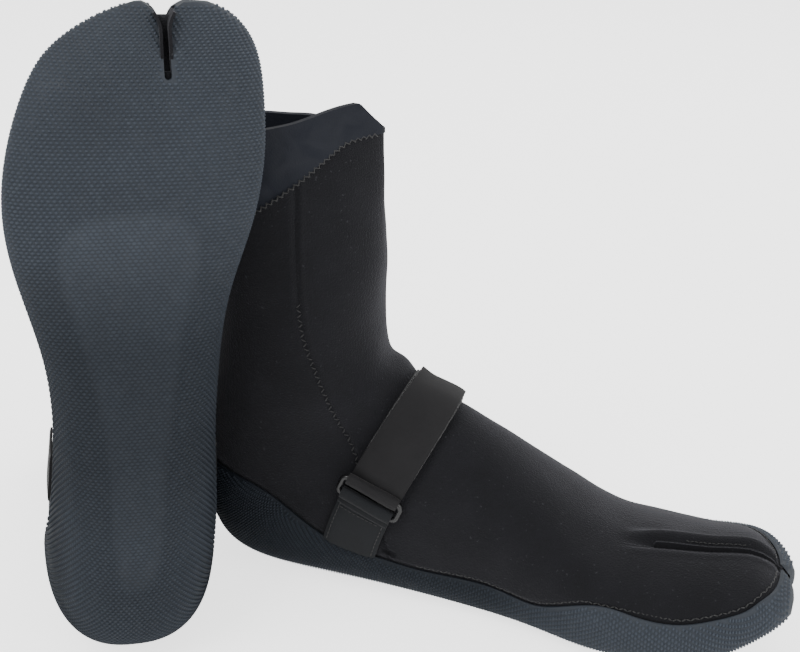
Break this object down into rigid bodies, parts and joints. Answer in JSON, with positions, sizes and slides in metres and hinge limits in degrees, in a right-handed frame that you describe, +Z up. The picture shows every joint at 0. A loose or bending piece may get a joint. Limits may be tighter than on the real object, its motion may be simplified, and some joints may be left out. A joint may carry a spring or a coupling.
{
  "type": "split-toe neoprene boots",
  "caption": "Pair of split-toe neoprene surf boots with textured rubber soles, instep straps through rings, one standing and one lying on its back.",
  "frame": {"origin": "under the middle of the standing left boot's sole, 120 mm forward of the back of its heel, on the plane of its tread", "axes": "+X towards the left boot's toe, +Z up its shaft, -Y towards its inner side; the right boot lies on its back beside it with the sole facing -Y"},
  "size_m": [0.4445, 0.2383, 0.3041],
  "materials": {
    "outsole_rubber": "matt, raised staggered dot texture",
    "neoprene": "knitted jersey over foam, matt",
    "smooth_skin": "smooth-skin neoprene, satin",
    "webbing": "smooth woven elastic webbing",
    "hook_loop": "hook and loop pile",
    "ring_plastic": "gloss"
  },
  "bodies": {
    "left_foot": {"left_outsole": "outsole_rubber", "left_sole_panel": "neoprene", "left_vamp": "neoprene", "left_heel_quarter": "neoprene", "left_toe_gusset": "neoprene", "left_strap_under": "webbing", "left_strap_anchor": "webbing", "left_loop_patch": "hook_loop", "left_ring_tab": "webbing"},
    "left_shaft": {"left_shaft_front": "neoprene", "left_shaft_rear": "neoprene", "left_collar": "smooth_skin"},
    "left_ring_body": {"left_ring": "ring_plastic"},
    "left_strap": {"left_strap_end": "webbing", "left_hook_patch": "hook_loop"},
    "right_foot": {"right_outsole": "outsole_rubber", "right_sole_panel": "neoprene", "right_vamp": "neoprene", "right_heel_quarter": "neoprene", "right_toe_gusset": "neoprene", "right_strap_under": "webbing", "right_strap_anchor": "webbing", "right_loop_patch": "hook_loop", "right_ring_tab": "webbing"},
    "right_shaft": {"right_shaft_front": "neoprene", "right_shaft_rear": "neoprene", "right_collar": "smooth_skin"},
    "right_ring_body": {"right_ring": "ring_plastic"},
    "right_strap": {"right_strap_end": "webbing", "right_hook_patch": "hook_loop"}
  },
  "joints": [
    {"name": "left_ankle_flex", "type": "hinge", "parent": "left_foot", "child": "left_shaft", "pos_m": [-0.07, 0, 0.103], "axis": [0, 1, 0], "range_deg": [-15, 18], "stiffness_Nm_per_rad": 0.6},
    {"name": "left_ring_pivot", "type": "hinge", "parent": "left_foot", "child": "left_ring_body", "pos_m": [-0.023, -0.0358, 0.057], "axis": [0.9085, 0, -0.4179], "range_deg": [0, 50]},
    {"name": "left_strap_peel", "type": "hinge", "parent": "left_ring_body", "child": "left_strap", "pos_m": [-0.01903, -0.0358, 0.06563], "axis": [0.9085, 0, -0.4179], "range_deg": [0, 150]},
    {"name": "right_ankle_flex", "type": "hinge", "parent": "right_foot", "child": "right_shaft", "pos_m": [-0.15519, -0.0286, 0.04967], "axis": [0.8553, 0.5139, -0.0663], "range_deg": [-15, 18], "stiffness_Nm_per_rad": 0.6},
    {"name": "right_ring_pivot", "type": "hinge", "parent": "right_foot", "child": "right_ring_body", "pos_m": [-0.0997, -0.04517, 0.09714], "axis": [-0.2368, 0.2739, -0.9322], "range_deg": [0, 15]},
    {"name": "right_strap_peel", "type": "hinge", "parent": "right_ring_body", "child": "right_strap", "pos_m": [-0.10408, -0.03744, 0.10052], "axis": [-0.2368, 0.2739, -0.9322], "range_deg": [0, 30]},
    {"name": "pair_slide", "type": "slide", "parent": "left_foot", "child": "right_foot", "axis": [0, -1, 0], "range_m": [0, 0.25]}
  ]
}
